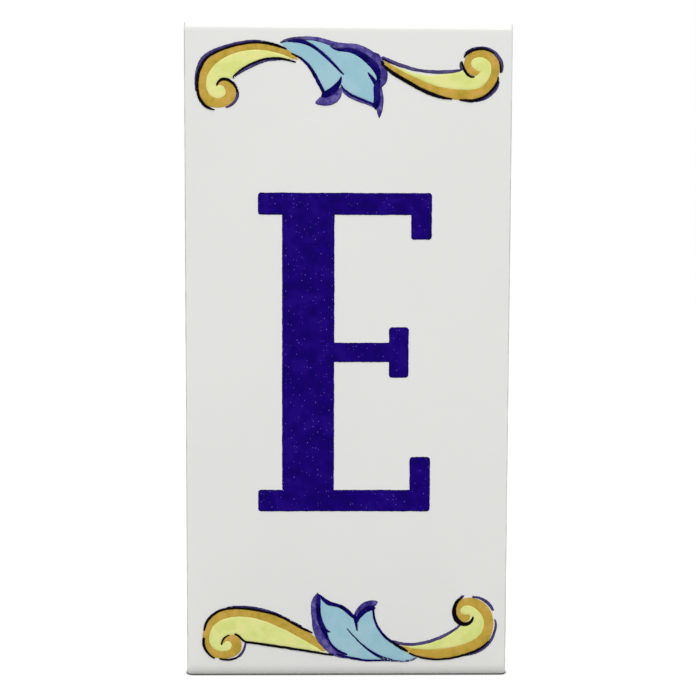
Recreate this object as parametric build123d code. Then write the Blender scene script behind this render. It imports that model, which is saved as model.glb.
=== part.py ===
from build123d import *
import os

# Pressed clay body, millimetres: face towards -Y, back on the wall plane Y = 0
tile_width = 74.0
tile_height = 150.0
tile_thickness = 7.0
corner_radius = 0.8
arris_radius = 0.35
cushion_run = 2.6
cushion_drop = 0.8
back_chamfer = 0.6

# Keyed back: even counts keep a rib on the centre lines
key_columns = 4
key_rows = 8
key_margin = 5.0
key_rib = 3.5
key_depth = 0.7
key_draft = 30.0

# Slab serif capital, placed from the centre of the face
letter_height = 73.0
letter_left = 20.45
letter_right = 19.05
stem_left = 14.95
stem_width = 11.9
slab_thickness = 5.0
arm_thickness = 4.45
arm_rise = 0.25
arm_serif_setback = 5.1
arm_serif_width = 4.5
arm_serif_height = 11.6
slab_serif_width = 4.7
top_serif_drop = 10.55
bottom_serif_rise = 12.65
letter_round = 0.7

# Scroll borders: clear glaze left between the painting and the tile's long sides
border_side_margin = 2.05
brush_tolerance = 0.05
brush_steps = 6
brush_least_degree = 3
brush_most_degree = 8

# Fired enamel: each colour stands at its own height above the glaze
enamel_bed = 0.4
enamel_height = {
    "turquoise": 0.08,
    "ochre": 0.10,
    "yellow": 0.13,
    "cobalt": 0.15,
    "violet": 0.17,
    "navy": 0.20,
    "black": 0.23,
}


class Border:
    """Paints one border. Points are (across, inset) in border units: across from the tile's upright centre
    line, inset from its top end (end = 1) or bottom end (end = -1). A stroke's points add a brush width."""

    def __init__(self, end):
        self.end = end
        self.strokes = []
        self.fields = []

    def stroke(self, colour, *points):
        self.strokes.append((colour, points))

    def field(self, colour, *runs):
        self.fields.append((colour, runs))

    def reach(self):
        return max(abs(point[0]) + point[2] / 2 for _, points in self.strokes for point in points)

    def place(self, across, inset, unit):
        return Vector(across * unit, self.end * (tile_height / 2 - inset * unit))

    def shapes(self, unit):
        for colour, points in self.strokes:
            centres = [self.place(across, inset, unit) for across, inset, _ in points]
            yield colour, stroke_face(centres, [width * unit for _, _, width in points])
        for colour, runs in self.fields:
            placed = [[self.place(across, inset, unit) for across, inset in run] for run in runs]
            yield colour, field_face(placed)


def smooth_edge(points):
    """Edge that runs smoothly through its points, in as few spans as the brush tolerance allows."""
    if len(points) == 2:
        return Line(*points)
    guide = Spline(*points)
    steps = brush_steps * (len(points) - 1)
    samples = [guide @ (step / steps) for step in range(steps + 1)]
    return Edge.make_spline_approx(
        samples, tol=brush_tolerance, min_deg=brush_least_degree, max_deg=brush_most_degree
    )


def stroke_face(centres, widths):
    """Outline of a brush stroke of changing width, with a blunt point at each end."""
    last = len(centres) - 1
    left, right = [], []
    for index, (centre, width) in enumerate(zip(centres, widths)):
        along = (centres[min(index + 1, last)] - centres[max(index - 1, 0)]).normalized()
        aside = Vector(-along.Y, along.X) * (width / 2)
        left.append(centre + aside)
        right.append(centre - aside)
    start_tip = centres[0] + (centres[0] - centres[1]).normalized() * (widths[0] / 2)
    end_tip = centres[last] + (centres[last] - centres[last - 1]).normalized() * (widths[last] / 2)
    return make_face(
        [
            smooth_edge(left),
            Line(left[last], end_tip),
            Line(end_tip, right[last]),
            smooth_edge(right[::-1]),
            Line(right[0], start_tip),
            Line(start_tip, left[0]),
        ]
    )


def field_face(runs):
    """Closed field of colour: each run is one smooth edge, and the runs meet at corners."""
    return make_face([smooth_edge(run) for run in runs])


def paint_top_left_scroll(border):
    border.stroke(
        "ochre",
        (-11.6, 8.7, 0.3), (-13.3, 7.6, 1.3), (-17.4, 6.2, 2.0), (-21.3, 5.95, 2.0), (-25.3, 6.65, 2.1),
        (-29.6, 8.55, 2.4), (-32.15, 11.0, 2.25), (-32.95, 14.4, 2.1), (-32.0, 17.4, 2.6),
        (-29.6, 18.35, 2.3), (-27.0, 17.5, 2.4), (-26.6, 15.5, 2.4), (-27.7, 14.2, 1.7),
        (-29.7, 14.7, 0.5),
    )
    border.field(
        "yellow",
        [(-12.3, 8.7), (-17.2, 7.0), (-20.6, 6.6), (-24.4, 7.2), (-27.5, 8.5), (-30.1, 10.2),
         (-31.6, 12.2), (-32.05, 14.5), (-31.4, 16.3), (-29.8, 17.4), (-28.2, 17.1), (-27.65, 15.8),
         (-28.4, 14.7), (-29.8, 15.0)],
        [(-29.8, 15.0), (-29.1, 13.7), (-27.9, 13.2), (-26.0, 12.9)],
        [(-26.0, 12.9), (-24.6, 11.4), (-22.0, 9.9), (-19.4, 8.8), (-17.0, 8.5), (-12.3, 8.7)],
    )
    border.stroke(
        "violet",
        (-17.9, 5.0, 0.25), (-21.3, 4.65, 0.5), (-25.3, 5.25, 0.65), (-29.2, 6.5, 0.75),
        (-32.25, 8.1, 0.85), (-33.65, 10.3, 0.8), (-34.25, 12.7, 0.6), (-34.4, 14.7, 0.4),
        (-34.1, 16.2, 0.3),
    )
    border.stroke(
        "violet",
        (-25.9, 12.9, 0.45), (-24.6, 11.7, 0.6), (-22.0, 10.3, 0.8), (-19.4, 9.15, 0.7),
        (-17.0, 8.8, 0.5), (-15.0, 8.8, 0.2),
    )
    border.stroke(
        "violet",
        (-25.9, 13.8, 0.4), (-25.2, 15.0, 0.55), (-24.95, 16.4, 0.7), (-25.4, 17.9, 0.65),
        (-26.4, 18.9, 0.6), (-27.5, 19.4, 0.4),
    )
    border.stroke(
        "black",
        (-14.0, 6.45, 0.3), (-16.2, 5.6, 0.65), (-18.6, 5.1, 0.62), (-21.5, 5.0, 0.45), (-25.2, 5.7, 0.5),
        (-29.1, 7.0, 0.55), (-32.0, 8.7, 0.55), (-33.3, 10.8, 0.6), (-34.0, 13.8, 0.65),
        (-33.8, 16.45, 0.6), (-32.9, 18.4, 0.7), (-31.5, 19.6, 0.6), (-30.2, 20.0, 0.25),
    )
    border.stroke(
        "black",
        (-25.9, 12.7, 0.35), (-24.6, 11.35, 0.4), (-22.0, 9.85, 0.42), (-19.4, 8.8, 0.45),
        (-17.0, 8.45, 0.5), (-14.6, 8.65, 0.5), (-12.0, 9.3, 0.35),
    )
    border.stroke(
        "black",
        (-29.6, 14.4, 0.45), (-29.0, 13.6, 0.6), (-28.0, 13.15, 0.65), (-26.9, 13.4, 0.65),
        (-25.9, 14.1, 0.6), (-25.3, 15.2, 0.45), (-25.1, 16.4, 0.25),
    )


def paint_top_leaf(border):
    border.field(
        "turquoise",
        [(-15.2, 5.2), (-12.5, 4.4), (-9.0, 4.0), (-5.5, 4.8), (-2.5, 6.0), (0.5, 6.6), (3.0, 7.7),
         (5.0, 9.4), (6.4, 12.0), (6.6, 14.5), (6.3, 17.0), (5.6, 18.7)],
        [(5.6, 18.7), (3.5, 17.8), (1.0, 16.7), (-1.6, 14.6)],
        [(-1.6, 14.6), (-3.3, 15.6), (-5.4, 16.1)],
        [(-5.4, 16.1), (-6.6, 14.0), (-8.1, 11.2), (-9.8, 9.1), (-12.8, 7.4)],
        [(-12.8, 7.4), (-13.8, 6.5), (-15.2, 5.2)],
    )
    border.stroke(
        "violet",
        (-15.3, 5.0, 0.3), (-14.0, 4.5, 0.75), (-11.5, 4.15, 0.9), (-8.8, 4.0, 0.85),
        (-6.6, 4.3, 1.0), (-4.4, 4.95, 1.1), (-2.0, 5.6, 1.2), (0.5, 5.7, 1.3), (3.0, 6.5, 1.7),
        (5.0, 7.7, 2.0), (6.9, 9.0, 1.8),
    )
    border.stroke(
        "violet",
        (6.2, 7.6, 1.2), (7.3, 10.0, 1.9), (7.7, 11.8, 2.1), (7.7, 13.2, 1.9), (7.0, 14.7, 0.8),
    )
    border.stroke(
        "violet",
        (6.9, 14.0, 0.8), (7.1, 16.0, 1.3), (7.1, 18.0, 1.6), (7.0, 19.7, 1.4), (6.95, 21.7, 0.1),
    )
    border.stroke(
        "violet",
        (6.7, 19.5, 1.0), (5.0, 18.6, 0.8), (3.0, 17.85, 0.85), (1.0, 17.1, 0.9), (-0.6, 16.1, 0.7),
        (-1.6, 14.8, 0.4),
    )
    border.stroke(
        "violet",
        (-1.45, 14.7, 0.35), (-2.0, 15.75, 1.35), (-2.9, 16.75, 2.4), (-4.2, 17.5, 2.7),
        (-5.8, 17.9, 2.2), (-7.1, 18.3, 0.9),
    )
    border.stroke(
        "navy",
        (-4.2, 5.7, 0.15), (-2.3, 6.45, 0.6), (0.2, 6.65, 0.9), (2.6, 7.55, 1.2), (4.6, 9.0, 1.5),
        (6.1, 10.6, 1.6), (6.7, 12.3, 1.0), (6.7, 13.5, 0.9), (6.35, 14.6, 1.3), (6.4, 16.4, 1.3),
        (6.3, 18.0, 1.4), (6.2, 19.4, 0.9),
    )
    border.stroke("navy", (4.4, 11.6, 0.3), (5.1, 12.5, 0.7), (5.9, 13.6, 0.9), (6.3, 14.6, 0.8))
    border.stroke(
        "navy",
        (5.8, 18.7, 0.6), (4.0, 17.92, 0.5), (2.0, 17.08, 0.5), (0.2, 16.25, 0.5), (-1.1, 15.2, 0.4),
        (-1.6, 14.4, 0.3),
    )
    border.stroke(
        "navy",
        (-13.7, 4.7, 0.3), (-11.5, 4.65, 0.8), (-9.5, 5.0, 0.85), (-7.5, 6.15, 0.7), (-5.5, 7.65, 0.68),
        (-3.5, 9.55, 0.62), (-1.1, 12.0, 0.35),
    )
    border.stroke(
        "navy",
        (-11.5, 8.0, 0.45), (-10.0, 9.0, 0.66), (-8.5, 10.7, 0.68), (-7.3, 12.7, 0.75), (-6.3, 14.7, 0.9),
        (-5.6, 16.0, 0.8),
    )
    border.stroke(
        "navy",
        (-1.65, 12.6, 0.3), (-2.1, 13.8, 0.9), (-3.0, 15.0, 1.4), (-4.3, 16.0, 1.5), (-5.6, 16.6, 1.4),
    )
    border.stroke("black", (-12.7, 7.45, 0.35), (-11.6, 8.0, 0.45), (-10.6, 8.6, 0.3))


def paint_top_right_scroll(border):
    border.stroke(
        "ochre",
        (7.8, 8.9, 0.3), (9.6, 10.5, 1.3), (13.3, 12.7, 1.8), (16.8, 14.25, 2.1), (20.1, 15.5, 2.3),
        (23.5, 16.15, 2.5), (27.0, 16.25, 2.6), (29.5, 15.75, 2.5), (31.55, 14.2, 2.3),
        (32.7, 12.1, 2.2), (32.9, 10.0, 2.2), (32.1, 8.15, 2.1), (30.0, 7.4, 1.8), (27.8, 7.9, 1.8),
        (26.95, 9.4, 1.9), (27.3, 10.8, 1.8), (28.5, 11.45, 1.3), (29.9, 11.1, 0.3),
    )
    border.field(
        "yellow",
        [(9.0, 9.5), (14.3, 12.3), (17.9, 13.8), (21.2, 14.8), (25.0, 15.25), (28.4, 15.15),
         (30.6, 14.1), (31.8, 12.2), (32.1, 10.1), (31.2, 8.6), (29.6, 8.0), (28.2, 8.3), (27.6, 9.4),
         (28.2, 10.5), (29.8, 11.1)],
        [(29.8, 11.1), (29.0, 12.0), (28.0, 12.35), (26.8, 11.9), (26.0, 11.1)],
        [(26.0, 11.1), (23.2, 11.3), (21.0, 11.9), (17.5, 12.1), (14.0, 11.4), (9.0, 9.5)],
    )
    border.stroke(
        "violet",
        (7.6, 8.2, 0.7), (9.5, 9.05, 0.95), (12.0, 10.0, 0.8), (15.0, 10.8, 0.7), (18.0, 11.25, 0.75),
        (20.8, 11.4, 0.8), (23.0, 11.2, 0.75), (25.3, 10.9, 0.5),
    )
    border.stroke(
        "violet",
        (28.8, 17.9, 0.25), (30.5, 17.3, 0.6), (32.2, 16.1, 0.75), (33.4, 14.7, 0.7),
        (33.95, 13.4, 0.35),
    )
    border.stroke(
        "violet",
        (26.1, 7.4, 0.3), (27.3, 6.4, 0.5), (29.0, 5.9, 0.4), (31.0, 6.05, 0.65), (32.75, 6.95, 0.85),
        (34.0, 8.4, 0.8), (34.55, 9.8, 0.75), (34.4, 11.4, 0.3),
    )
    border.stroke("violet", (25.3, 9.1, 0.4), (25.2, 10.0, 0.5), (25.6, 10.8, 0.4))
    border.stroke("black", (7.7, 8.5, 0.3), (8.8, 9.05, 0.3), (9.8, 9.4, 0.15))
    border.stroke(
        "black",
        (7.4, 9.2, 0.35), (7.9, 10.0, 0.55), (9.2, 11.1, 0.8), (13.3, 13.6, 0.8), (16.7, 15.4, 0.88),
        (20.0, 16.7, 0.75), (23.3, 17.4, 0.35),
    )
    border.stroke(
        "black",
        (25.1, 17.55, 0.4), (27.3, 17.7, 0.68), (29.2, 17.45, 0.65), (31.0, 16.5, 0.6),
        (32.5, 15.15, 0.55), (33.5, 13.65, 0.55), (33.8, 12.4, 0.3),
    )
    border.stroke(
        "black",
        (26.05, 8.0, 0.4), (27.0, 7.0, 0.6), (28.5, 6.3, 0.55), (30.2, 6.2, 0.5), (31.6, 6.5, 0.4),
        (32.6, 7.1, 0.25),
    )
    border.stroke("black", (33.9, 9.0, 0.2), (34.2, 10.2, 0.35), (34.2, 11.4, 0.3))
    border.stroke(
        "black",
        (25.5, 9.0, 0.3), (25.8, 10.0, 0.5), (26.2, 11.1, 0.6), (27.0, 12.0, 0.55), (28.3, 12.4, 0.35),
    )


def paint_bottom_left_scroll(border):
    border.stroke(
        "ochre",
        (-4.9, 5.6, 0.2), (-6.7, 7.0, 1.7), (-8.6, 8.55, 2.4), (-12.1, 10.6, 2.5), (-16.6, 12.85, 2.5),
        (-21.5, 14.35, 2.2), (-25.3, 14.75, 2.3), (-28.3, 14.35, 2.3), (-30.75, 12.9, 2.2),
        (-32.15, 10.7, 1.9), (-32.35, 8.1, 1.9), (-31.45, 5.9, 2.0), (-29.2, 5.0, 2.1),
        (-27.0, 5.2, 2.1), (-25.6, 6.4, 2.5), (-25.65, 7.7, 2.4), (-26.5, 8.75, 2.0), (-27.7, 8.3, 1.3),
        (-28.5, 7.7, 0.5),
    )
    border.field(
        "yellow",
        [(-4.7, 5.0), (-8.4, 7.4), (-12.0, 9.5), (-16.8, 11.9), (-21.5, 13.6), (-25.1, 14.0),
         (-28.0, 13.5), (-30.2, 12.3), (-31.5, 10.5), (-31.8, 8.3), (-30.8, 6.3), (-28.9, 5.7),
         (-27.2, 6.0), (-26.65, 7.35), (-27.3, 8.0), (-28.4, 7.4)],
        [(-28.4, 7.4), (-28.8, 8.2), (-28.0, 9.1), (-26.6, 9.6), (-25.0, 9.1), (-23.4, 7.9)],
        [(-23.4, 7.9), (-4.7, 5.0)],
    )
    border.stroke(
        "violet",
        (-10.5, 11.6, 0.25), (-14.0, 13.4, 0.4), (-19.0, 15.45, 0.5), (-23.0, 16.0, 0.6),
        (-25.5, 16.25, 0.45), (-27.8, 15.95, 0.2),
    )
    border.stroke(
        "violet",
        (-26.4, 3.8, 0.4), (-24.9, 4.5, 0.6), (-23.9, 5.8, 0.6), (-23.5, 7.2, 0.5), (-23.4, 7.9, 0.4),
    )
    border.stroke(
        "black",
        (-8.0, 10.0, 0.4), (-12.5, 12.3, 0.55), (-16.0, 14.1, 0.5), (-19.5, 15.1, 0.55),
        (-23.0, 15.65, 0.5), (-25.3, 15.9, 0.55), (-27.5, 15.7, 0.55), (-30.0, 14.9, 0.6),
        (-31.8, 13.4, 0.6), (-32.7, 11.8, 0.6), (-33.0, 10.6, 0.4),
    )
    border.stroke(
        "black",
        (-33.05, 8.7, 0.6), (-33.1, 7.4, 0.65), (-32.5, 5.7, 0.55), (-31.5, 4.6, 0.45),
        (-30.6, 4.0, 0.35),
    )
    border.stroke("black", (-29.4, 3.9, 0.4), (-27.5, 3.65, 0.5), (-26.0, 3.9, 0.45), (-24.8, 4.7, 0.3))
    border.stroke("black", (-25.8, 9.7, 0.4), (-24.8, 9.1, 0.5), (-23.9, 8.2, 0.5), (-23.3, 7.8, 0.4))
    border.stroke("black", (-23.6, 7.9, 0.55), (-13.5, 6.4, 0.6), (-3.2, 4.7, 0.5))
    border.stroke(
        "black",
        (-27.2, 9.45, 0.3), (-28.2, 8.9, 0.4), (-28.8, 8.0, 0.45), (-28.9, 7.3, 0.45),
    )


def paint_bottom_leaf(border):
    border.field(
        "turquoise",
        [(-6.4, 18.8), (-6.9, 15.5), (-6.4, 12.5), (-5.3, 9.8), (-2.8, 6.3), (-0.3, 4.5), (3.6, 3.6),
         (8.0, 3.4), (12.6, 3.2), (16.1, 3.9)],
        [(16.1, 3.9), (14.2, 5.5), (12.0, 6.8), (9.6, 8.5), (7.6, 10.6), (6.5, 13.0), (6.1, 15.6)],
        [(6.1, 15.6), (4.2, 15.1), (3.0, 13.9), (2.2, 12.8)],
        [(2.2, 12.8), (1.3, 14.2), (0.0, 15.4), (-1.8, 16.5), (-4.1, 17.3), (-6.4, 18.8)],
    )
    border.stroke(
        "violet",
        (-6.65, 19.4, 0.2), (-7.3, 17.8, 1.2), (-7.6, 15.5, 1.5), (-7.3, 13.0, 1.5), (-6.9, 11.0, 1.9),
        (-6.0, 9.0, 2.1), (-4.6, 7.1, 2.1), (-3.0, 5.6, 1.8), (-1.2, 4.6, 1.1), (0.3, 4.1, 0.5),
    )
    border.stroke(
        "violet",
        (1.8, 13.7, 0.6), (2.8, 14.9, 1.6), (4.0, 16.0, 2.0), (5.5, 16.7, 1.9), (6.9, 17.15, 0.8),
    )
    border.stroke(
        "navy",
        (-6.5, 19.0, 0.4), (-6.55, 17.4, 1.0), (-6.55, 15.4, 1.0), (-6.3, 13.4, 1.1), (-5.7, 11.7, 1.1),
        (-5.0, 10.1, 1.1), (-4.4, 8.7, 0.6), (-3.4, 7.1, 0.5), (-1.9, 5.8, 0.5), (0.0, 4.9, 0.5),
    )
    border.stroke("navy", (-5.3, 11.0, 0.9), (-4.6, 10.5, 0.6), (-3.85, 10.2, 0.3))
    border.stroke(
        "navy",
        (-6.4, 18.9, 0.4), (-5.2, 17.75, 0.9), (-3.8, 16.85, 0.95), (-2.0, 16.45, 0.85), (-0.55, 15.65, 0.9),
        (0.6, 14.65, 0.95), (1.9, 13.5, 0.6),
    )
    border.stroke("navy", (1.9, 14.1, 0.7), (2.1, 12.8, 0.8), (2.3, 11.5, 0.5), (2.4, 10.5, 0.3))
    border.stroke(
        "navy",
        (2.3, 12.5, 0.7), (3.0, 14.0, 1.1), (4.2, 15.2, 1.2), (5.4, 15.8, 1.2), (6.3, 15.8, 0.9),
    )
    border.stroke(
        "navy",
        (6.2, 15.6, 0.5), (6.3, 14.0, 0.5), (6.7, 12.4, 0.55), (7.6, 10.7, 0.6), (9.0, 9.0, 0.6),
        (10.5, 7.8, 0.7),
    )
    border.stroke(
        "navy",
        (0.1, 11.0, 0.2), (1.5, 9.3, 0.3), (3.2, 7.6, 0.35), (5.3, 5.8, 0.5), (7.5, 4.5, 0.65),
        (9.2, 3.8, 0.8), (10.5, 3.6, 0.5),
    )
    border.stroke(
        "navy",
        (-2.2, 4.95, 0.3), (1.2, 4.0, 0.6), (3.6, 3.6, 0.55), (7.0, 3.4, 0.45), (10.0, 3.5, 0.4),
        (12.6, 3.2, 0.45), (14.6, 3.4, 0.4), (16.1, 4.0, 0.4),
    )
    border.stroke("black", (10.5, 7.8, 0.6), (12.0, 6.8, 0.7), (13.2, 6.1, 0.7), (14.1, 5.6, 0.4))


def paint_bottom_right_scroll(border):
    border.stroke(
        "ochre",
        (12.6, 6.8, 0.4), (14.2, 5.9, 1.4), (16.5, 5.4, 2.1), (19.5, 5.05, 2.6), (23.0, 5.2, 2.7),
        (26.4, 5.95, 2.7), (29.65, 7.25, 2.8), (31.85, 8.95, 2.8), (32.8, 11.55, 2.4), (32.5, 14.05, 2.5),
        (30.5, 16.45, 2.4), (27.9, 17.15, 2.1), (26.2, 16.3, 1.7), (25.85, 14.7, 1.4),
        (26.3, 13.2, 1.2), (27.0, 12.6, 0.6),
    )
    border.stroke("ochre", (26.2, 12.9, 1.0), (27.3, 13.55, 2.1), (28.3, 13.75, 1.3))
    border.field(
        "yellow",
        [(12.9, 7.1), (16.0, 6.2), (19.5, 6.05), (23.8, 6.4), (28.1, 7.6), (30.9, 9.4), (31.9, 11.8),
         (31.4, 14.0), (29.8, 15.7), (27.6, 16.4), (26.5, 15.7), (26.6, 14.6), (27.5, 14.25),
         (28.4, 14.3), (28.6, 13.6), (28.2, 12.9)],
        [(28.2, 12.9), (27.3, 12.0)],
        [(27.3, 12.0), (26.2, 11.7), (24.6, 10.4), (22.5, 9.2), (20.0, 8.2), (17.5, 7.5), (12.9, 7.1)],
    )
    border.stroke(
        "violet",
        (10.3, 8.1, 0.5), (12.4, 7.5, 0.7), (15.0, 7.2, 0.7), (17.5, 7.5, 0.7), (20.0, 8.2, 0.8),
        (22.5, 9.2, 0.74), (24.6, 10.4, 0.65), (26.3, 11.8, 0.5),
    )
    border.stroke("violet", (27.0, 18.6, 0.6), (26.3, 18.15, 0.65), (25.7, 17.3, 0.3))
    border.stroke(
        "violet",
        (29.2, 18.4, 0.5), (30.6, 18.2, 0.6), (32.15, 17.55, 0.75), (33.2, 16.45, 0.75), (33.95, 15.3, 0.5),
    )
    border.stroke(
        "violet",
        (34.4, 13.1, 0.3), (34.6, 11.5, 0.55), (34.2, 9.6, 0.65), (33.15, 7.75, 0.7), (31.6, 6.15, 0.7),
        (29.5, 5.1, 0.5), (27.0, 4.4, 0.3),
    )
    border.stroke(
        "black",
        (26.6, 18.2, 0.5), (25.9, 17.7, 0.7), (25.1, 16.3, 0.82), (24.95, 14.6, 1.08), (25.5, 13.05, 1.1),
        (26.65, 12.15, 1.08), (27.9, 12.05, 0.86), (28.9, 12.7, 0.72), (29.3, 13.6, 0.45),
    )
    border.stroke(
        "black",
        (33.0, 8.0, 0.25), (31.2, 6.4, 0.5), (28.8, 5.2, 0.5), (26.0, 4.3, 0.5), (23.0, 3.8, 0.5),
        (20.0, 3.7, 0.45), (17.4, 4.1, 0.5), (15.8, 4.65, 0.45), (14.6, 5.1, 0.35),
    )


def painted_borders():
    """Faces of both borders by colour; the wider one sets the border unit from the tile's width."""
    top, bottom = Border(1), Border(-1)
    for paint in (paint_top_left_scroll, paint_top_leaf, paint_top_right_scroll):
        paint(top)
    for paint in (paint_bottom_left_scroll, paint_bottom_leaf, paint_bottom_right_scroll):
        paint(bottom)
    unit = (tile_width / 2 - border_side_margin) / max(top.reach(), bottom.reach())
    faces = {}
    for border in (top, bottom):
        for colour, face in border.shapes(unit):
            faces.setdefault(colour, []).append(face)
    return faces


def slab(left, right, bottom, top, rounding):
    """Upright rectangle between four edges, with rounded corners where a radius is given."""
    centre = Pos((left + right) / 2, (bottom + top) / 2)
    if rounding:
        return centre * RectangleRounded(right - left, top - bottom, rounding)
    return centre * Rectangle(right - left, top - bottom)


def letter_sketch():
    """Slab serif E: stem, two long slabs with upright serifs, and a short arm with a taller serif."""
    top = letter_height / 2
    serif_left = letter_right - slab_serif_width
    arm_end = letter_right - arm_serif_setback
    arm_serif_left = arm_end - arm_serif_width
    stem_right = stem_width - stem_left
    return Sketch() + [
        slab(-letter_left, letter_right, top - slab_thickness, top, letter_round),
        slab(-letter_left, letter_right, -top, slab_thickness - top, letter_round),
        slab(-stem_left, stem_right, slab_thickness / 2 - top, top - slab_thickness / 2, 0),
        slab(serif_left, letter_right, top - top_serif_drop, top, letter_round),
        slab(serif_left, letter_right, -top, bottom_serif_rise - top, letter_round),
        slab(stem_right - arm_thickness, arm_end - arm_serif_width / 2,
             arm_rise - arm_thickness / 2, arm_rise + arm_thickness / 2, 0),
        slab(arm_serif_left, arm_end,
             arm_rise - arm_serif_height / 2, arm_rise + arm_serif_height / 2, letter_round),
    ]


def end_profile():
    """Side view of the tile, (depth, height): a flat face that falls in an arc at both its ends."""
    end = tile_height / 2
    shoulder = cushion_drop - tile_thickness
    return make_face(
        [
            Line((-tile_thickness, cushion_run - end), (-tile_thickness, end - cushion_run)),
            TangentArc((-tile_thickness, end - cushion_run), (shoulder, end), tangent=(0, 1)),
            Polyline((shoulder, end), (0, end), (0, -end), (shoulder, -end)),
            TangentArc((-tile_thickness, cushion_run - end), (shoulder, -end), tangent=(0, -1)),
        ]
    )


def clay_body():
    body = extrude(Plane.YZ * end_profile(), amount=tile_width / 2, both=True)
    body = fillet(body.edges().filter_by(Axis.Y), corner_radius)
    back = body.faces().sort_by(Axis.Y)[-1]
    body = chamfer(back.outer_wire().edges(), back_chamfer)
    side_edges = [
        edge for edge in body.edges()
        if edge.center().Y < cushion_drop - tile_thickness + arris_radius
        and abs(edge.center().X) > tile_width / 2 - corner_radius
    ]
    end_edges = [
        edge for edge in body.edges().filter_by(Axis.X)
        if edge.center().Y < -tile_thickness / 2
        and abs(edge.center().Z) > tile_height / 2 - cushion_run / 2
    ]
    return fillet(side_edges + end_edges, arris_radius)


def key_pockets():
    """Shallow drafted pockets pressed into the back, leaving one lattice of ribs for the adhesive."""
    pocket_width = (tile_width - 2 * key_margin - (key_columns - 1) * key_rib) / key_columns
    pocket_height = (tile_height - 2 * key_margin - (key_rows - 1) * key_rib) / key_rows
    back = Plane(origin=(0, 0, 0), x_dir=(1, 0, 0), z_dir=(0, -1, 0))
    pocket = extrude(Rectangle(pocket_width, pocket_height), amount=key_depth, taper=key_draft)
    grid = GridLocations(pocket_width + key_rib, pocket_height + key_rib, key_columns, key_rows)
    return [back * place * pocket for place in grid]


def enamel_coat(colour, faces):
    """One colour's coat: its faces joined, standing from inside the clay to that colour's height."""
    bed = Plane(origin=(0, enamel_bed - tile_thickness, 0), x_dir=(1, 0, 0), z_dir=(0, -1, 0))
    coat = Sketch() + faces
    return extrude(bed * coat, amount=enamel_bed + enamel_height[colour])


def letter_tile():
    painted = painted_borders()
    painted["cobalt"] = [letter_sketch()]
    coats = [enamel_coat(colour, faces) for colour, faces in painted.items()]
    return clay_body() - key_pockets() + coats


tile = letter_tile()
os.makedirs("parts", exist_ok=True)
export_step(tile, "parts/tile.step")
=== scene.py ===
import math

import bmesh
import bpy
from mathutils import Matrix, Quaternion, Vector, noise
from mathutils.bvhtree import BVHTree
from mathutils.geometry import delaunay_2d_cdt
from mathutils.kdtree import KDTree


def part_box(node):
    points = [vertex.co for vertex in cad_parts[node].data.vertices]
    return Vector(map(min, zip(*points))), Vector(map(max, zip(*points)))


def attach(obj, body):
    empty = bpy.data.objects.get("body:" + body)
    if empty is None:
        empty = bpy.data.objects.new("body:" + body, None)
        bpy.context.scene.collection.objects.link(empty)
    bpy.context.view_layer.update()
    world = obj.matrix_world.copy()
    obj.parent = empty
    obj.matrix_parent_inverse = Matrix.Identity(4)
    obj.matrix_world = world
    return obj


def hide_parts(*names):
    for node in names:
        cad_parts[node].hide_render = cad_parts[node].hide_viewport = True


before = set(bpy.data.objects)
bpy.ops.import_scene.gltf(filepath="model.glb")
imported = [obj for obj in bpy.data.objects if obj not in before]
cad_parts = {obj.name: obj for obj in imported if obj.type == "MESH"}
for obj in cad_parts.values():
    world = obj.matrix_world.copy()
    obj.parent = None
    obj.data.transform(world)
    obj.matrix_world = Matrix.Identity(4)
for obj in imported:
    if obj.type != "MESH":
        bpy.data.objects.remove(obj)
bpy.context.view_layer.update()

# Every size below is in millimetres, and the meshes are scaled to metres as they are made
MM = 0.001

# Fired enamel: how high each colour stands above the glazed face, which tells the colours apart in the solid
ENAMEL_HEIGHT = {
    "turquoise": 0.08,
    "ochre": 0.10,
    "yellow": 0.13,
    "cobalt": 0.15,
    "violet": 0.17,
    "navy": 0.20,
    "black": 0.23,
}
LEVEL_SLACK = 0.005
FACING = -0.9
WELD = 0.0005
ENAMEL_BED = 0.05
SHOULDER_SHARE = 0.45
SHOULDER_RUN = 0.18
OUTLINE_STEP = 0.12
FIELD_STEP = 0.3
LINE_STEP = 0.15
LINE_COLOURS = ("violet", "navy", "black")
FROM_EDGE = "from_edge"
WHOLE_HULL = 0

# The brush's wobble: a slow drift of the line and a quick tremble of its edge, as (reach, length)
BRUSH_DRIFT = (0.06, 1.7)
BRUSH_TREMBLE = (0.05, 0.42)
BRUSH_SEED = 5

# Yellow fields that swell into their ochre, or draw back: each bow's centre (x, z), radius, middle and swell
FIELD_BOWS = (
    ((-23.0, 58.3), 10.0, math.radians(118), 0.38),
    ((-24.9, -74.1), 12.9, math.radians(88), -0.2),
)
BOW_ACROSS = 1.0
BOW_SPREAD = math.radians(20)

# Clay body
low, high = (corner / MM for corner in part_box("tile"))
half_width = (high.x - low.x) / 2
half_height = (high.z - low.z) / 2
face = low.y + max(ENAMEL_HEIGHT.values())
CORNER_RADIUS = 0.8
LEAST_CORNER = 0.04
ARRIS_RADIUS = 0.35
ARRIS_END_SHARE = 0.55
CUSHION_RUN = 2.6
CUSHION_DROP = 0.8
BACK_CHAMFER = 0.6
CORNER_STEPS = 8
ARRIS_STEPS = 5
CUSHION_STEPS = 12
SHARP_ANGLE = math.radians(38)

# Keyed back
KEY_COLUMNS = 4
KEY_ROWS = 8
KEY_MARGIN = 5.0
KEY_RIB = 3.5
KEY_DEPTH = 0.7
KEY_SLOPE_RUN = KEY_DEPTH * math.tan(math.radians(30))

# Noise lies mostly between 0.3 and 0.7, and each of these is the stretch over which an effect sets in
POOLS = (0.5, 0.62)
THINS = (0.5, 0.38)
GRAIN_LIGHT = (0.52, 0.7)
GRAIN_DARK = (0.48, 0.3)
BREAKS = (0.5, 0.56)
PATCHES = (0.35, 0.65)
BLOTCHES = (0.45, 0.8)
CLOUDY = (0.3, 0.7)

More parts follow.
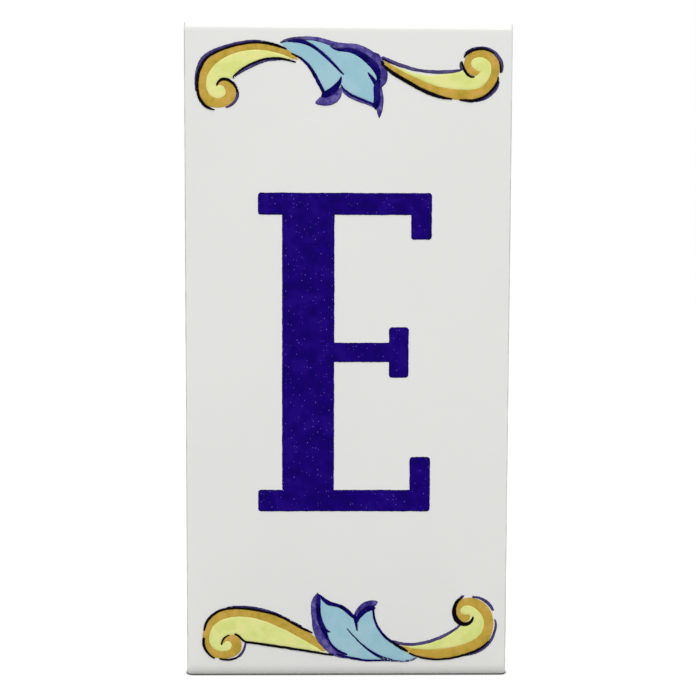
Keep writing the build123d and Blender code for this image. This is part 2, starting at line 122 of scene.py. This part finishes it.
# Scattered dots: how soft their edges are, as a share of their spacing, and how faint the faintest is
DOT_SOFTNESS = 0.06
DOT_FAINTEST = 0.3

# Glaze: its two tones, its clouds, waves, pits and specks, where dots are (spacing, size, share of places)
GLAZE_TONES = ((229, 229, 226), (224, 225, 221))
GLAZE_IOR = 1.5
GLAZE_SHINE = 0.5
GLAZE_ROUGHNESS = 0.05
GLAZE_CLOUD = 38.0
WAVE_LENGTH = 11.0
WAVE_HEIGHT = 0.05
PITS = (4.0, 0.3, 0.25)
PIT_DEPTH = 0.03
SPECKS = (9.0, 0.34, 0.45)
SPECK_COLOUR = (120, 118, 116)
SPECK_SEEN = 0.55

# Thin glaze over the long arrises, in a darker grey that is partly painted shade: how far in from the sides,
# and how far down them, it shows the clay
THIN_GLAZE_AND_SHADE = (186, 183, 176)
THIN_SHADED_FROM = 0.42
THIN_SHADED_BY = 0.1
THIN_SHADED_DOWN = (1.2, 0.5)
THIN_SHADED_PATCH = 4.0
THIN_SHADED_LEAST = 0.35

# Bare clay, below a glaze line that wanders along the sides
CLAY_TONES = ((232, 219, 199), (208, 190, 165))
CLAY_BLOTCH = (204, 182, 156)
CLAY_ROUGHNESS = 0.88
CLAY_GRAIN = 0.5
BLOTCH_LENGTH = 9.0
BLOTCH_SEEN = 0.4
SAND_HEIGHT = 0.12
GLAZE_LINE = (3.2, 3.6)
LINE_WANDER = 5.0
LINE_REACH = 2.4

# Fired enamel's surface: shine, ripple, grain, pinholes as (spacing, size), and a rim's fade as shares of it
ENAMEL_SHINE = 0.03
ENAMEL_ROUGHNESS = (0.28, 0.42)
RIPPLE_LENGTH = 0.8
RIPPLE_HEIGHT = 0.012
SPECKLE_LENGTH = 0.32
PINHOLES = (0.62, 0.42)
PINHOLE_COLOUR = (132, 110, 214)
RIM_FADES = (1.5, 0.5)

# The lower leaf's outline was brushed dry at its right foot, and what shows through it there
DRY_DOWN = (-67.2, -68.0)
DRY_ACROSS = (7.5, 10.5)
DRY_SHOWS = (176, 194, 208)

# The scrolls' outlines are duller than the leaves' lobes, from where the leaves end
SCROLL_FROM = (8.5, 11.0)
SCROLL_TINT = (72, 66, 70)

# Each colour's tones as painted, pooled and thin, and what else its coat shows
ENAMEL_LOOK = {
    "turquoise": dict(
        colour=(155, 196, 209),
        shade=(150, 193, 207),
        light=(161, 199, 211),
        pool_length=5.0,
        grain=0.2,
    ),
    "ochre": dict(
        colour=(192, 160, 64),
        shade=(177, 149, 54),
        light=(205, 165, 80),
        pool_length=2.4,
        grain=0.3,
    ),
    "yellow": dict(
        colour=(221, 227, 142),
        shade=(215, 222, 131),
        light=(229, 228, 149),
        grain=0.2,
    ),
    "cobalt": dict(
        colour=(24, 0, 112),
        shade=(19, 0, 100),
        light=(30, 5, 119),
        grain=0.08,
        rim=(0.26, (10, 0, 68)),
        ragged=0.1,
        pinholes=0.4,
    ),
    "violet": dict(
        colour=(76, 65, 142),
        shade=(51, 40, 113),
        light=(105, 97, 163),
        pool_length=1.6,
        grain=0.5,
        rim=(0.24, (36, 20, 96)),
        ragged=0.15,
        pinholes=0.15,
        dull=0.5,
    ),
    "navy": dict(
        colour=(9, 1, 91),
        shade=(3, 0, 66),
        light=(30, 18, 112),
        grain=0.2,
        rim=(0.14, (4, 0, 66)),
        pinholes=0.15,
        dry=0.8,
    ),
    "black": dict(
        colour=(4, 2, 7),
        shade=(2, 1, 4),
        light=(13, 9, 24),
        grain=0.2,
    ),
}

# Camera, from the photograph's perspective
CAMERA_LENS = 72.0
CAMERA_SENSOR = 36.0
CAMERA_AZIMUTH = math.radians(-0.97)
CAMERA_ELEVATION = math.radians(4.32)
CAMERA_ROLL = math.radians(0.20)
CAMERA_DISTANCE = 318.0
CAMERA_TARGET = Vector((0.09, face, 1.25))
CAMERA_NEAREST = 10.0

# Light
FILL_STRENGTH = 0.89
SOFTBOX_PLACE = Vector((110.0, -1059.0, 1531.0))
SOFTBOX_AIM = Vector((0.0, face, 75.0))
SOFTBOX_SIZE = (1120.0, 1560.0)
SOFTBOX_ROLL = math.radians(-30)
SOFTBOX_POWER = 17.2
REAR_PLACE = Vector((-260.0, 700.0, 640.0))
REAR_AIM = Vector((0.0, 0.0, 0.0))
REAR_SIZE = (500.0, 500.0)
REAR_POWER = 4.0

# Floor, with a painted contact shadow, a dark line where the tile meets it
FLOOR_SIZE = 4000.0
FLOOR_PALE = 0.4
FLOOR_GLOW_SHARE = 0.7
FLOOR_GLOW = 1.32
CONTACT_SHADOW_REACH = 1.7
CONTACT_SHADOW_SEEN = (0.5, 0.8)
CONTACT_SHADOW_PAST = 0.8


def linear(red, green, blue):
    """Colour as the eye reads it on a screen, 0 to 255, as the shader's linear values."""
    values = []
    for part in (red, green, blue):
        share = part / 255
        values.append(share / 12.92 if share <= 0.04045 else ((share + 0.055) / 1.055) ** 2.4)
    return (*values, 1.0)


class Shader:
    """One procedural material: its surface shader, its place in millimetres, and short ways to add nodes."""

    # Places of the mix node's colour sockets, whose names its other sockets share
    FIRST_COLOUR = 6
    SECOND_COLOUR = 7
    MIXED_COLOUR = 2

    def __init__(self, name):
        self.material = bpy.data.materials.new(name)
        self.material.use_nodes = True
        self.tree = self.material.node_tree
        self.surface = self.tree.nodes["Principled BSDF"]
        coordinates = self.tree.nodes.new("ShaderNodeTexCoord")
        scale = self.tree.nodes.new("ShaderNodeMapping")
        scale.inputs["Scale"].default_value = (1 / MM, 1 / MM, 1 / MM)
        self.tree.links.new(coordinates.outputs["Object"], scale.inputs["Vector"])
        self.place = scale.outputs["Vector"]

    def feed(self, socket, value):
        """Links a socket to another, or sets it to a plain value."""
        if isinstance(value, bpy.types.NodeSocket):
            self.tree.links.new(value, socket)
        else:
            socket.default_value = value

    def noise(self, length, detail=3.0, rough=0.5, offset=(0, 0, 0)):
        """Cloudy value, 0 to 1, in patches about one length across; the offset keeps two patterns apart."""
        shift = self.tree.nodes.new("ShaderNodeMapping")
        shift.inputs["Location"].default_value = offset
        self.feed(shift.inputs["Vector"], self.place)
        node = self.tree.nodes.new("ShaderNodeTexNoise")
        self.feed(node.inputs["Vector"], shift.outputs["Vector"])
        self.feed(node.inputs["Scale"], 1 / length)
        self.feed(node.inputs["Detail"], detail)
        self.feed(node.inputs["Roughness"], rough)
        return node.outputs["Fac"]

    def dots(self, spacing, size, share):
        """1 in scattered round dots of up to one size, in a share of cells that are one spacing wide."""
        node = self.tree.nodes.new("ShaderNodeTexVoronoi")
        self.feed(node.inputs["Vector"], self.place)
        self.feed(node.inputs["Scale"], 1 / spacing)
        split = self.tree.nodes.new("ShaderNodeSeparateColor")
        self.feed(split.inputs["Color"], node.outputs["Color"])
        chosen = self.math("LESS_THAN", split.outputs["Red"], share)
        reach = self.math("MULTIPLY", split.outputs["Green"], size / spacing / 2)
        within = self.math("SUBTRACT", reach, node.outputs["Distance"])
        inside = self.ramp_between(within, 0.0, DOT_SOFTNESS)
        clear = self.ramp_between(split.outputs["Blue"], 0.0, 1.0, DOT_FAINTEST, 1.0)
        return self.math("MULTIPLY", chosen, self.math("MULTIPLY", inside, clear))

    def math(self, operation, first, second):
        """Sum, product or the like of two values."""
        node = self.tree.nodes.new("ShaderNodeMath")
        node.operation = operation
        self.feed(node.inputs[0], first)
        self.feed(node.inputs[1], second)
        return node.outputs["Value"]

    def ramp_between(self, value, start, stop, low=0.0, high=1.0):
        """Value eased from low at start to high at stop, and held beyond them."""
        node = self.tree.nodes.new("ShaderNodeMapRange")
        node.interpolation_type = "SMOOTHSTEP"
        self.feed(node.inputs["Value"], value)
        self.feed(node.inputs["From Min"], start)
        self.feed(node.inputs["From Max"], stop)
        self.feed(node.inputs["To Min"], low)
        self.feed(node.inputs["To Max"], high)
        return node.outputs["Result"]

    def mix(self, share, first, second):
        """Colour that goes from the first to the second as the share goes from 0 to 1."""
        node = self.tree.nodes.new("ShaderNodeMix")
        node.data_type = "RGBA"
        self.feed(node.inputs["Factor"], share)
        self.feed(node.inputs[self.FIRST_COLOUR], first)
        self.feed(node.inputs[self.SECOND_COLOUR], second)
        return node.outputs[self.MIXED_COLOUR]

    def bump(self, height, distance, normal=None):
        """Normal bent by a height, where 1 stands for the distance in millimetres."""
        node = self.tree.nodes.new("ShaderNodeBump")
        self.feed(node.inputs["Strength"], 1.0)
        self.feed(node.inputs["Distance"], distance * MM)
        self.feed(node.inputs["Height"], height)
        if normal is not None:
            self.feed(node.inputs["Normal"], normal)
        return node.outputs["Normal"]

    def along(self, axis):
        """The place's distance along one axis, in millimetres."""
        split = self.tree.nodes.new("ShaderNodeSeparateXYZ")
        self.feed(split.inputs["Vector"], self.place)
        return split.outputs[axis]

    def aside(self):
        """How far a place lies to either side of the tile's middle, in millimetres."""
        return self.math("ABSOLUTE", self.along("X"), 0.0)

    def depth(self):
        """How far a place lies behind the tile's face, in millimetres."""
        return self.math("SUBTRACT", self.along("Y"), face)

    def from_edge(self):
        """How far a place on an enamel coat lies from the coat's outline, in millimetres."""
        node = self.tree.nodes.new("ShaderNodeAttribute")
        node.attribute_name = FROM_EDGE
        return node.outputs["Fac"]

    def set(self, **values):
        """Feeds the surface shader's sockets by name, with an underscore for each space."""
        for name, value in values.items():
            self.feed(self.surface.inputs[name.replace("_", " ")], value)


def glaze_colour(shader):
    """White glaze in two slow tones, with a few dark specks, thin in patches along the long arrises, where
    its darker grey is partly painted shade.
    """
    cloud = shader.noise(GLAZE_CLOUD, detail=2.0)
    glaze = shader.mix(cloud, linear(*GLAZE_TONES[0]), linear(*GLAZE_TONES[1]))
    specks = shader.math("MULTIPLY", shader.dots(*SPECKS), SPECK_SEEN)
    glaze = shader.mix(specks, glaze, linear(*SPECK_COLOUR))
    # Painted shade along the long arrises, partly thin glaze: a darker grey in patches on the rounded edge
    thin_and_shaded = shader.ramp_between(shader.aside(), half_width - THIN_SHADED_FROM, half_width - THIN_SHADED_BY)
    thin_and_shaded = shader.math("MULTIPLY", thin_and_shaded, shader.ramp_between(shader.depth(), *THIN_SHADED_DOWN))
    patchy = shader.noise(THIN_SHADED_PATCH, detail=4.0, offset=(29, 0, 2))
    patchy = shader.ramp_between(patchy, *PATCHES, THIN_SHADED_LEAST, 1.0)
    return shader.mix(shader.math("MULTIPLY", thin_and_shaded, patchy), glaze, linear(*THIN_GLAZE_AND_SHADE))


def clay_colour(shader, grain):
    """Pale buff clay, grained and blotched."""
    clay = shader.mix(grain, linear(*CLAY_TONES[0]), linear(*CLAY_TONES[1]))
    blotch = shader.noise(BLOTCH_LENGTH, detail=3.0, offset=(17, 5, 3))
    return shader.mix(shader.ramp_between(blotch, *BLOTCHES, 0.0, BLOTCH_SEEN), clay, linear(*CLAY_BLOTCH))


def glazed_clay():
    """White glaze that ends part way down the sides, with bare clay from there to the back."""
    shader = Shader("white_glaze_on_clay")
    shader.surface.inputs["IOR"].default_value = GLAZE_IOR
    shader.surface.inputs["Specular IOR Level"].default_value = GLAZE_SHINE
    grain = shader.noise(CLAY_GRAIN, detail=4.0, rough=0.65)
    wander = shader.noise(LINE_WANDER, detail=3.0, offset=(3, 0, 11))
    line = shader.math("ADD", shader.depth(), shader.math("MULTIPLY", wander, LINE_REACH))
    bare = shader.ramp_between(line, *GLAZE_LINE)
    shader.set(Base_Color=shader.mix(bare, glaze_colour(shader), clay_colour(shader, grain)))
    shader.set(Roughness=shader.ramp_between(bare, 0.0, 1.0, GLAZE_ROUGHNESS, CLAY_ROUGHNESS))
    waves = shader.bump(shader.noise(WAVE_LENGTH, detail=1.0, offset=(0, 0, 40)), WAVE_HEIGHT)
    pits = shader.math("MULTIPLY", shader.dots(*PITS), -1.0)
    glassy = shader.bump(pits, PIT_DEPTH, normal=waves)
    sand = shader.math("MULTIPLY", grain, bare)
    shader.set(Normal=shader.bump(sand, SAND_HEIGHT, normal=glassy))
    return shader.material


def dulled(shader, paint, most):
    """Paint that loses its colour from where the leaves end, as the scrolls' outlines do."""
    share = shader.ramp_between(shader.aside(), *SCROLL_FROM, 0.0, most)
    return shader.mix(share, paint, linear(*SCROLL_TINT))


def pooled_rim(shader, paint, speckle, width, colour):
    """Paint that gathered darker along the coat's outline."""
    inward = shader.math("ADD", shader.from_edge(), shader.math("MULTIPLY", speckle, width))
    pooled = shader.ramp_between(inward, *(share * width for share in RIM_FADES))
    return shader.mix(pooled, paint, linear(*colour))


def ragged_edge(shader, paint, speckle, reach):
    """Paint whose outline breaks up in its grain and shows the glaze."""
    worn = shader.math("SUBTRACT", speckle, shader.math("MULTIPLY", shader.from_edge(), 1 / reach))
    return shader.mix(shader.ramp_between(worn, *BREAKS), paint, linear(*GLAZE_TONES[0]))


def dry_foot(shader, paint, speckle, share):
    """Paint that was brushed dry at the lower leaf's right foot."""
    bare = shader.ramp_between(speckle, *BREAKS, 0.0, share)
    foot = shader.ramp_between(shader.along("Z"), *DRY_DOWN)
    foot = shader.math("MULTIPLY", foot, shader.ramp_between(shader.along("X"), *DRY_ACROSS))
    return shader.mix(shader.math("MULTIPLY", bare, foot), paint, linear(*DRY_SHOWS))


def enamel(
    name,
    colour,
    shade,
    light,
    pool_length=3.0,
    grain=0.1,
    rim=None,
    ragged=0.0,
    pinholes=0.0,
    dry=0.0,
    dull=0.0,
):
    """Fired brush colour, which pools darker and thins lighter in soft patches and in its grain.

    The rim is (width, colour), ragged how far the edge breaks up, pinholes the share of places that have one,
    dry how bare the lower leaf's foot is, and dull how much colour the scrolls' outlines lose.
    """
    shader = Shader(name)
    shader.surface.inputs["Specular IOR Level"].default_value = ENAMEL_SHINE
    cloud = shader.noise(pool_length, detail=4.0, rough=0.55)
    paint = shader.mix(shader.ramp_between(cloud, *POOLS), linear(*colour), linear(*shade))
    paint = shader.mix(shader.ramp_between(cloud, *THINS), paint, linear(*light))
    speckle = shader.noise(SPECKLE_LENGTH, detail=2.0, rough=0.7, offset=(7, 0, 21))
    paint = shader.mix(shader.ramp_between(speckle, *GRAIN_LIGHT, 0.0, grain), paint, linear(*light))
    paint = shader.mix(shader.ramp_between(speckle, *GRAIN_DARK, 0.0, grain), paint, linear(*shade))
    if dull:
        paint = dulled(shader, paint, dull)
    if rim:
        paint = pooled_rim(shader, paint, speckle, *rim)
    if pinholes:
        paint = shader.mix(shader.dots(*PINHOLES, pinholes), paint, linear(*PINHOLE_COLOUR))
    if ragged:
        paint = ragged_edge(shader, paint, speckle, ragged)
    if dry:
        paint = dry_foot(shader, paint, speckle, dry)
    shader.set(Base_Color=paint)
    shader.set(Roughness=shader.ramp_between(cloud, *CLOUDY, *ENAMEL_ROUGHNESS))
    shader.set(Normal=shader.bump(shader.noise(RIPPLE_LENGTH, detail=2.0), RIPPLE_HEIGHT))
    return shader.material


def loop_points(inset):
    """The tile's outline drawn in by an inset, as (x, z, end share); the share is 1 on the top and bottom."""
    right = half_width - inset
    top = half_height - inset
    radius = max(CORNER_RADIUS - inset, LEAST_CORNER)
    start = half_height - CUSHION_RUN
    rise = top - radius - start
    quarter = [(right, start + rise * step / CUSHION_STEPS, 0.0) for step in range(CUSHION_STEPS + 1)]
    for step in range(1, CORNER_STEPS + 1):
        angle = math.pi / 2 * step / CORNER_STEPS
        across = right - radius + radius * math.cos(angle)
        quarter.append((across, top - radius + radius * math.sin(angle), math.sin(angle)))
    upper = quarter + [(-x, z, share) for x, z, share in quarter[::-1]]
    return upper + [(-x, -z, share) for x, z, share in upper]


def cushion(height):
    """How far the face falls back towards its top and bottom ends, on an arc."""
    along = abs(height) - (half_height - CUSHION_RUN)
    if along <= 0:
        return 0.0
    radius = (CUSHION_RUN**2 + CUSHION_DROP**2) / (2 * CUSHION_DROP)
    return radius - math.sqrt(radius**2 - along**2)


def arris(inset, end_share):
    """How far the rounded arris falls back near the outline, tighter where the cushion already slopes."""
    radius = ARRIS_RADIUS * (1 - (1 - ARRIS_END_SHARE) * end_share)
    if inset >= radius:
        return 0.0
    return radius - math.sqrt(radius**2 - (radius - inset) ** 2)


def ring(bm, inset, level=None):
    """One loop of corners round the tile, on its glazed front, or at a level where one is given."""
    corners = []
    for x, z, share in loop_points(inset):
        y = face + cushion(z) + arris(inset, share) if level is None else level
        corners.append(bm.verts.new((x, y, z)))
    return corners


def skin(bm, first, second):
    """Band of faces between two loops."""
    for index, corner in enumerate(first):
        bm.faces.new((first[index - 1], corner, second[index], second[index - 1]))


def loop_edges(bm, loop):
    """Edges of one closed loop of corners."""
    return [bm.edges.get((loop[index - 1], loop[index])) for index in range(len(loop))]


def key_pocket(bm, centre_x, centre_z, half_x, half_z):
    """One drafted pocket in the back, and its rim's edges."""
    rim, floor = [], []
    for x_sign, z_sign in ((-1, -1), (1, -1), (1, 1), (-1, 1)):
        rim.append(bm.verts.new((centre_x + x_sign * half_x, 0, centre_z + z_sign * half_z)))
        inner_x = centre_x + x_sign * (half_x - KEY_SLOPE_RUN)
        inner_z = centre_z + z_sign * (half_z - KEY_SLOPE_RUN)
        floor.append(bm.verts.new((inner_x, -KEY_DEPTH, inner_z)))
    skin(bm, rim, floor)
    bm.faces.new(floor)
    return loop_edges(bm, rim)


def keyed_back(bm, back):
    """Lattice of pockets in the flat back, within the back's own loop of corners."""
    half_x = (2 * half_width - 2 * KEY_MARGIN - (KEY_COLUMNS - 1) * KEY_RIB) / KEY_COLUMNS / 2
    half_z = (2 * half_height - 2 * KEY_MARGIN - (KEY_ROWS - 1) * KEY_RIB) / KEY_ROWS / 2
    edges = loop_edges(bm, back)
    for column in range(KEY_COLUMNS):
        for row in range(KEY_ROWS):
            centre_x = (column - (KEY_COLUMNS - 1) / 2) * (2 * half_x + KEY_RIB)
            centre_z = (row - (KEY_ROWS - 1) / 2) * (2 * half_z + KEY_RIB)
            edges += key_pocket(bm, centre_x, centre_z, half_x, half_z)
    bmesh.ops.triangle_fill(bm, use_beauty=True, edges=edges, normal=(0, 1, 0))


def body_mesh():
    """Clay body: flat face, cushioned ends, rounded arrises, chamfered back and its lattice of keys."""
    bm = bmesh.new()
    angles = [math.pi / 2 * step / ARRIS_STEPS for step in range(ARRIS_STEPS + 1)]
    insets = [ARRIS_RADIUS * (1 - math.cos(angle)) for angle in angles]
    slope = CUSHION_RUN - 2 * LEAST_CORNER - ARRIS_RADIUS
    insets += [ARRIS_RADIUS + slope * step / CUSHION_STEPS for step in range(1, CUSHION_STEPS + 1)]
    front = [ring(bm, inset) for inset in insets]
    foot = ring(bm, 0.0, -BACK_CHAMFER)
    back = ring(bm, BACK_CHAMFER, 0.0)
    for first, second in zip([back, foot] + front, [foot] + front):
        skin(bm, first, second)
    bm.faces.new(front[-1])
    keyed_back(bm, back)
    return bm


def wobble(place):
    """How far the brush strays in the plane of the face; neighbours stray alike, so edges still meet."""
    stray = Vector()
    for reach, length in (BRUSH_DRIFT, BRUSH_TREMBLE):
        drawn = noise.noise_vector(place / length)
        stray += Vector((drawn.x, 0, drawn.z)) * reach
    for (centre_x, centre_z), radius, middle, swell in FIELD_BOWS:
        out = place - Vector((centre_x, 0, centre_z))
        across = (out.length - radius) / BOW_ACROSS
        along = (math.atan2(out.z, out.x) - middle) / BOW_SPREAD
        stray += out.normalized() * swell * math.exp(-(across**2) - along**2)
    return stray


def divide_outline(bm):
    """Adds corners along long outline edges, so that the wobble has something to move."""
    for edge in [edge for edge in bm.edges if edge.is_boundary]:
        parts = math.ceil(edge.calc_length() / OUTLINE_STEP)
        end = edge.verts[1]
        for left in range(parts, 1, -1):
            _, corner = bmesh.utils.edge_split(edge, edge.other_vert(end), 1 / left)
            edge = next(link for link in corner.link_edges if end in link.verts)


def plateau(colour):
    """Flat areas where the solid stands at one colour's height, laid on the coat's bed and brushed."""
    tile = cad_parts["tile"].data
    level = face - ENAMEL_HEIGHT[colour]
    bm = bmesh.new()
    for polygon in tile.polygons:
        if polygon.normal.y < FACING and abs(polygon.center.y / MM - level) < LEVEL_SLACK:
            bm.faces.new([bm.verts.new(tile.vertices[index].co / MM) for index in polygon.vertices])
    bmesh.ops.remove_doubles(bm, verts=bm.verts, dist=WELD)
    divide_outline(bm)
    for vert in bm.verts:
        flat = Vector((vert.co.x, 0, vert.co.z))
        vert.co = flat + wobble(flat) + Vector((0, face + ENAMEL_BED, 0))
    return bm


def grid_points(step):
    """Points all over the face in staggered rows, one step apart."""
    rise = step * math.sqrt(3) / 2
    rows = int(half_height / rise)
    columns = int(half_width / step)
    for row in range(-rows, rows + 1):
        shift = step / 2 * (row % 2)
        for column in range(-columns, columns):
            yield Vector((column * step + shift, row * rise))


def triangle_sides(triangle):
    """A triangle's three sides, each as its two corners in order."""
    return [(triangle[index - 1], triangle[index]) for index in range(3)]


def inside_outline(triangles, rim):
    """Triangles within the outline: each step over a rim edge, from the hull inwards, changes the side."""
    beside = {}
    for number, triangle in enumerate(triangles):
        for side in triangle_sides(triangle):
            beside.setdefault(frozenset(side), []).append(number)
    within = {}
    waiting = [(numbers[0], edge in rim) for edge, numbers in beside.items() if len(numbers) == 1]
    while waiting:
        number, inside = waiting.pop()
        if number in within:
            continue
        within[number] = inside
        for side in triangle_sides(triangles[number]):
            edge = frozenset(side)
            waiting += [(other, inside != (edge in rim)) for other in beside[edge] if other not in within]
    return [triangle for number, triangle in enumerate(triangles) if within[number]]


def coat_plan(colour):
    """One coat seen flat: its points (x, z), each one's distance from the outline, and its triangles."""
    flat = plateau(colour)
    outline = [edge for edge in flat.edges if edge.is_boundary]
    corners = list(dict.fromkeys(vert for edge in outline for vert in edge.verts))
    number = {vert: index for index, vert in enumerate(corners)}
    area = BVHTree.FromBMesh(flat)
    nearest = KDTree(len(corners))
    for vert, index in number.items():
        nearest.insert((vert.co.x, vert.co.z, 0), index)
    nearest.balance()

    def covered(point):
        return area.ray_cast(Vector((point.x, low.y, point.y)), Vector((0, 1, 0)))[0] is not None

    def from_edge(point):
        return nearest.find((point.x, point.y, 0))[2]

    points = [Vector((vert.co.x, vert.co.z)) for vert in corners]
    step = LINE_STEP if colour in LINE_COLOURS else FIELD_STEP
    points += [point for point in grid_points(step) if from_edge(point) > step / 2 and covered(point)]
    edges = [tuple(number[vert] for vert in edge.verts) for edge in outline]
    flat.free()
    places, joins, triangles, _, origins, _ = delaunay_2d_cdt(points, edges, [], WHOLE_HULL, WELD)
    rim = {frozenset(join) for join, origin in zip(joins, origins) if origin}
    on_rim = set().union(*rim)
    distances = [0.0 if index in on_rim else from_edge(place) for index, place in enumerate(places)]
    return places, distances, inside_outline(triangles, rim)


def enamel_mesh(colour):
    """One colour's coat as closed slabs that swell from a low edge, each corner's distance from it kept."""
    places, distances, triangles = coat_plan(colour)
    bm = bmesh.new()
    distance_layer = bm.verts.layers.float.new(FROM_EDGE)
    top, foot, sides = {}, {}, {}
    for triangle in triangles:
        for index in triangle:
            if index in top:
                continue
            place = places[index]
            swell = min(distances[index] / SHOULDER_RUN, 1.0)
            share = SHOULDER_SHARE + (1 - SHOULDER_SHARE) * math.sin(swell * math.pi / 2)
            top[index] = bm.verts.new((place.x, face - ENAMEL_HEIGHT[colour] * share, place.y))
            top[index][distance_layer] = distances[index]
            foot[index] = bm.verts.new((place.x, face + ENAMEL_BED, place.y))
        bm.faces.new([top[index] for index in triangle])
        bm.faces.new([foot[index] for index in reversed(triangle)])
        for side in triangle_sides(triangle):
            sides.setdefault(frozenset(side), []).append(side)
    for found in sides.values():
        if len(found) == 1:
            first, second = found[0]
            bm.faces.new((foot[first], foot[second], top[second], top[first]))
    return bm


def piece(name, bm, material):
    """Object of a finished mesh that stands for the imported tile."""
    bmesh.ops.recalc_face_normals(bm, faces=bm.faces)
    bm.transform(Matrix.Scale(MM, 4))
    mesh = bpy.data.meshes.new(name)
    bm.to_mesh(mesh)
    bm.free()
    mesh.polygons.foreach_set("use_smooth", [True] * len(mesh.polygons))
    mesh.set_sharp_from_angle(angle=SHARP_ANGLE)
    mesh.materials.append(material)
    made = bpy.data.objects.new(name, mesh)
    bpy.context.scene.collection.objects.link(made)
    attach(made, "root")
    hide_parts("tile")
    return made


def background_share(tree):
    """1 for what the camera, a reflection or clear glass sees, and 0 for what lights the object."""
    path = tree.nodes.new("ShaderNodeLightPath")
    share = path.outputs["Is Camera Ray"]
    for name in ("Is Glossy Ray", "Is Transmission Ray"):
        most = tree.nodes.new("ShaderNodeMath")
        most.operation = "MAXIMUM"
        tree.links.new(share, most.inputs[0])
        tree.links.new(path.outputs[name], most.inputs[1])
        share = most.outputs["Value"]
    return share


def floor_paint():
    """White to the eye, with some shading left for the shadow and a painted contact shadow, a dark line where
    the tile stands.
    """
    shader = Shader("studio_floor")
    tree = shader.tree
    tree.nodes.remove(shader.surface)
    matt = tree.nodes.new("ShaderNodeBsdfDiffuse")
    matt.inputs["Color"].default_value = (FLOOR_PALE, FLOOR_PALE, FLOOR_PALE, 1)
    glow = tree.nodes.new("ShaderNodeEmission")
    # Painted contact shadow: the glow fades where ambient occlusion finds the tile close, but not past its
    # sides
    near = tree.nodes.new("ShaderNodeAmbientOcclusion")
    near.inputs["Distance"].default_value = CONTACT_SHADOW_REACH * MM
    beside = shader.ramp_between(shader.aside(), half_width, half_width + CONTACT_SHADOW_PAST)
    clear = shader.math("MAXIMUM", near.outputs["AO"], beside)
    shader.feed(glow.inputs["Strength"], shader.ramp_between(clear, *CONTACT_SHADOW_SEEN, 0.0, FLOOR_GLOW))
    mixed = tree.nodes.new("ShaderNodeMixShader")
    tree.links.new(shader.math("MULTIPLY", background_share(tree), FLOOR_GLOW_SHARE), mixed.inputs["Fac"])
    tree.links.new(matt.outputs["BSDF"], mixed.inputs[1])
    tree.links.new(glow.outputs["Emission"], mixed.inputs[2])
    tree.links.new(mixed.outputs["Shader"], tree.nodes["Material Output"].inputs["Surface"])
    return shader.material


def studio_floor():
    """Plain pale floor under the tile."""
    bm = bmesh.new()
    bmesh.ops.create_grid(bm, x_segments=1, y_segments=1, size=FLOOR_SIZE / 2 * MM)
    mesh = bpy.data.meshes.new("floor")
    bm.to_mesh(mesh)
    bm.free()
    mesh.materials.append(floor_paint())
    floor = bpy.data.objects.new("floor", mesh)
    floor.location.z = low.z * MM
    bpy.context.scene.collection.objects.link(floor)


def studio_world():
    """Soft fill light all round, in front of a white background."""
    world = bpy.data.worlds.new("studio")
    world.use_nodes = True
    tree = world.node_tree
    fill = tree.nodes["Background"]
    fill.inputs["Color"].default_value = (1, 1, 1, 1)
    fill.inputs["Strength"].default_value = FILL_STRENGTH
    white = tree.nodes.new("ShaderNodeBackground")
    white.inputs["Color"].default_value = (1, 1, 1, 1)
    mixed = tree.nodes.new("ShaderNodeMixShader")
    tree.links.new(background_share(tree), mixed.inputs["Fac"])
    tree.links.new(fill.outputs["Background"], mixed.inputs[1])
    tree.links.new(white.outputs["Background"], mixed.inputs[2])
    tree.links.new(mixed.outputs["Shader"], tree.nodes["World Output"].inputs["Surface"])
    bpy.context.scene.world = world


def softbox(name, place, aim, size, roll, power):
    """Large soft lamp that looks from its place at its aim, turned about that line by its roll."""
    lamp = bpy.data.lights.new(name, "AREA")
    lamp.shape = "RECTANGLE"
    lamp.size = size[0] * MM
    lamp.size_y = size[1] * MM
    lamp.energy = power
    held = bpy.data.objects.new(name, lamp)
    held.location = place * MM
    held.rotation_mode = "QUATERNION"
    held.rotation_quaternion = (aim - place).to_track_quat("-Z", "Y") @ Quaternion((0, 0, 1), roll)
    bpy.context.scene.collection.objects.link(held)


def camera():
    """Camera at the photograph's angle, distance and lens."""
    data = bpy.data.cameras.new("camera")
    data.lens = CAMERA_LENS
    data.sensor_width = CAMERA_SENSOR
    data.clip_start = CAMERA_NEAREST * MM
    held = bpy.data.objects.new("camera", data)
    level = math.cos(CAMERA_ELEVATION)
    across = math.sin(CAMERA_AZIMUTH) * level
    away = -math.cos(CAMERA_AZIMUTH) * level
    back = Vector((across, away, math.sin(CAMERA_ELEVATION)))
    held.location = (CAMERA_TARGET + back * CAMERA_DISTANCE) * MM
    held.rotation_mode = "QUATERNION"
    roll = Quaternion((0, 0, 1), CAMERA_ROLL)
    held.rotation_quaternion = (-back).to_track_quat("-Z", "Y") @ roll
    bpy.context.scene.collection.objects.link(held)
    bpy.context.scene.camera = held


noise.seed_set(BRUSH_SEED)
glazed_body = piece("glazed_body", body_mesh(), glazed_clay())
for colour, look in ENAMEL_LOOK.items():
    piece(colour + "_enamel", enamel_mesh(colour), enamel(colour + "_enamel", **look))

studio_floor()
studio_world()
softbox("softbox", SOFTBOX_PLACE, SOFTBOX_AIM, SOFTBOX_SIZE, SOFTBOX_ROLL, SOFTBOX_POWER)
softbox("rear_softbox", REAR_PLACE, REAR_AIM, REAR_SIZE, 0.0, REAR_POWER)
camera()
bpy.context.scene.view_settings.view_transform = "Standard"
